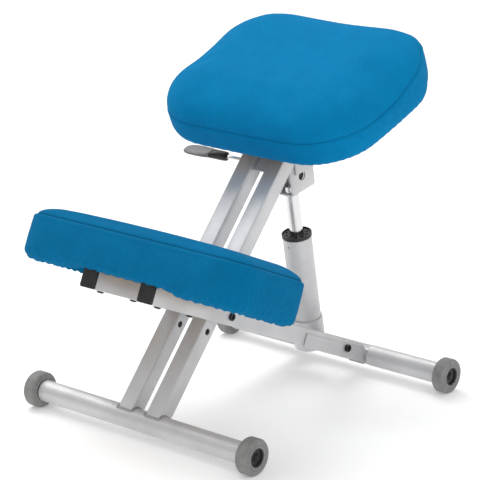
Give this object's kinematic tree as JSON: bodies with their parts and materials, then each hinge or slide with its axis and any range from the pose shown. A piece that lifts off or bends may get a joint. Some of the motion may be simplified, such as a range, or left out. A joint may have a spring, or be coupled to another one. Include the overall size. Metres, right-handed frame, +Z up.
{
  "type": "kneeling chair",
  "caption": "Rolling kneeling chair: two crossed tube frames with a gas lift, a tilted seat cushion, a knee cushion and a release lever.",
  "frame": {"origin": "centre of the chair's bounding box on the floor it rolls on", "axes": "+Z up; the sitter faces -Y, so the knee cushion is at -Y and the seat at +Y; +X to the left hand of a sitter, the lever at -X"},
  "size_m": [0.506, 0.6028, 0.6149],
  "materials": {
    "frame_steel": "silver-grey satin powder coat",
    "black_fasteners": "black oxide",
    "zinc": "bright zinc",
    "black_plastic": "moulded, fine grain",
    "roller_rubber": "dark grey, matt, ringed side walls",
    "chrome": "polished",
    "black_plate": "black satin paint",
    "lever_plastic": "grey, fine grain",
    "blue_fabric": "teal-blue upholstery fabric over foam",
    "plywood": "raw plywood"
  },
  "bodies": {
    "base_frame": {"rear_cross_tube": "frame_steel", "rear_foot_tube_left": "frame_steel", "rear_foot_tube_right": "frame_steel", "outer_beam_left": "frame_steel", "outer_beam_right": "frame_steel", "beam_side_plate_left": "frame_steel", "beam_side_plate_right": "frame_steel", "side_bolt_left": "black_fasteners", "side_bolt_right": "black_fasteners", "beam_end_plug_left": "black_plastic", "beam_end_plug_right": "black_plastic", "knee_board": "plywood", "knee_cushion": "blue_fabric", "pivot_bolt": "black_fasteners", "pivot_nut": "black_fasteners", "pivot_washer_left": "zinc", "pivot_washer_right": "zinc", "trunnion_pin_left": "black_fasteners", "trunnion_pin_right": "black_fasteners", "stub_axle_rear_left": "black_fasteners", "stub_axle_rear_right": "black_fasteners", "knee_screw_left_1": "black_fasteners", "knee_screw_left_2": "black_fasteners", "knee_screw_right_1": "black_fasteners", "knee_screw_right_2": "black_fasteners"},
    "seat_frame": {"front_foot_tube": "frame_steel", "inner_tube_left": "frame_steel", "inner_tube_right": "frame_steel", "tube_tie_plate": "frame_steel", "seat_plate": "black_plate", "seat_board": "plywood", "seat_cushion": "blue_fabric", "seat_bracket": "frame_steel", "lift_pin": "black_fasteners", "stub_axle_front_left": "black_fasteners", "stub_axle_front_right": "black_fasteners"},
    "column": {"column_socket": "frame_steel", "gas_column": "frame_steel", "column_collar": "black_plastic"},
    "rod": {"gas_rod": "chrome", "rod_bracket": "frame_steel"},
    "lever": {"lever_rod": "chrome", "lever_paddle": "lever_plastic"},
    "release_pin": {"release_pin": "zinc"},
    "roller_front_left": {"tyre_front_left": "roller_rubber", "hub_front_left": "black_plastic"},
    "roller_front_right": {"tyre_front_right": "roller_rubber", "hub_front_right": "black_plastic"},
    "roller_rear_left": {"tyre_rear_left": "roller_rubber", "hub_rear_left": "black_plastic"},
    "roller_rear_right": {"tyre_rear_right": "roller_rubber", "hub_rear_right": "black_plastic"}
  },
  "joints": [
    {"name": "seat_tilt", "type": "hinge", "parent": "base_frame", "child": "seat_frame", "pos_m": [0, -0.10984, 0.18974], "axis": [1, 0, 0], "range_deg": [-6, 6]},
    {"name": "column_tilt", "type": "hinge", "parent": "base_frame", "child": "column", "pos_m": [0, 0.18906, 0.06], "axis": [1, 0, 0], "range_deg": [-2.8, 2.8]},
    {"name": "rod_slide", "type": "slide", "parent": "column", "child": "rod", "axis": [0, -0.1951, 0.9808], "range_m": [-0.0295, 0.0295]},
    {"name": "lever_lift", "type": "hinge", "parent": "rod", "child": "lever", "pos_m": [-0.01425, 0.12614, 0.3763], "axis": [0, 0.9808, 0.1951], "range_deg": [0, 8], "stiffness_Nm_per_rad": 0.4, "springref_deg": -5.73},
    {"name": "release_press", "type": "slide", "parent": "rod", "child": "release_pin", "axis": [0, 0.1951, -0.9808], "range_m": [0, 0.0025]},
    {"name": "roll_front_left", "type": "hinge", "parent": "seat_frame", "child": "roller_front_left", "pos_m": [-0.2305, -0.24164, 0.03], "axis": [1, 0, 0], "continuous": true},
    {"name": "roll_front_right", "type": "hinge", "parent": "seat_frame", "child": "roller_front_right", "pos_m": [0.2305, -0.24164, 0.03], "axis": [1, 0, 0], "continuous": true},
    {"name": "roll_rear_left", "type": "hinge", "parent": "base_frame", "child": "roller_rear_left", "pos_m": [-0.2415, 0.26036, 0.03], "axis": [1, 0, 0], "continuous": true},
    {"name": "roll_rear_right", "type": "hinge", "parent": "base_frame", "child": "roller_rear_right", "pos_m": [0.2415, 0.26036, 0.03], "axis": [1, 0, 0], "continuous": true}
  ],
  "couplings": [
    {"joint": "column_tilt", "follows": "seat_tilt", "ratio": 0.44576},
    {"joint": "rod_slide", "follows": "seat_tilt", "m_per_rad": 0.27774},
    {"joint": "release_press", "follows": "lever_lift", "m_per_rad": 0.0165}
  ]
}
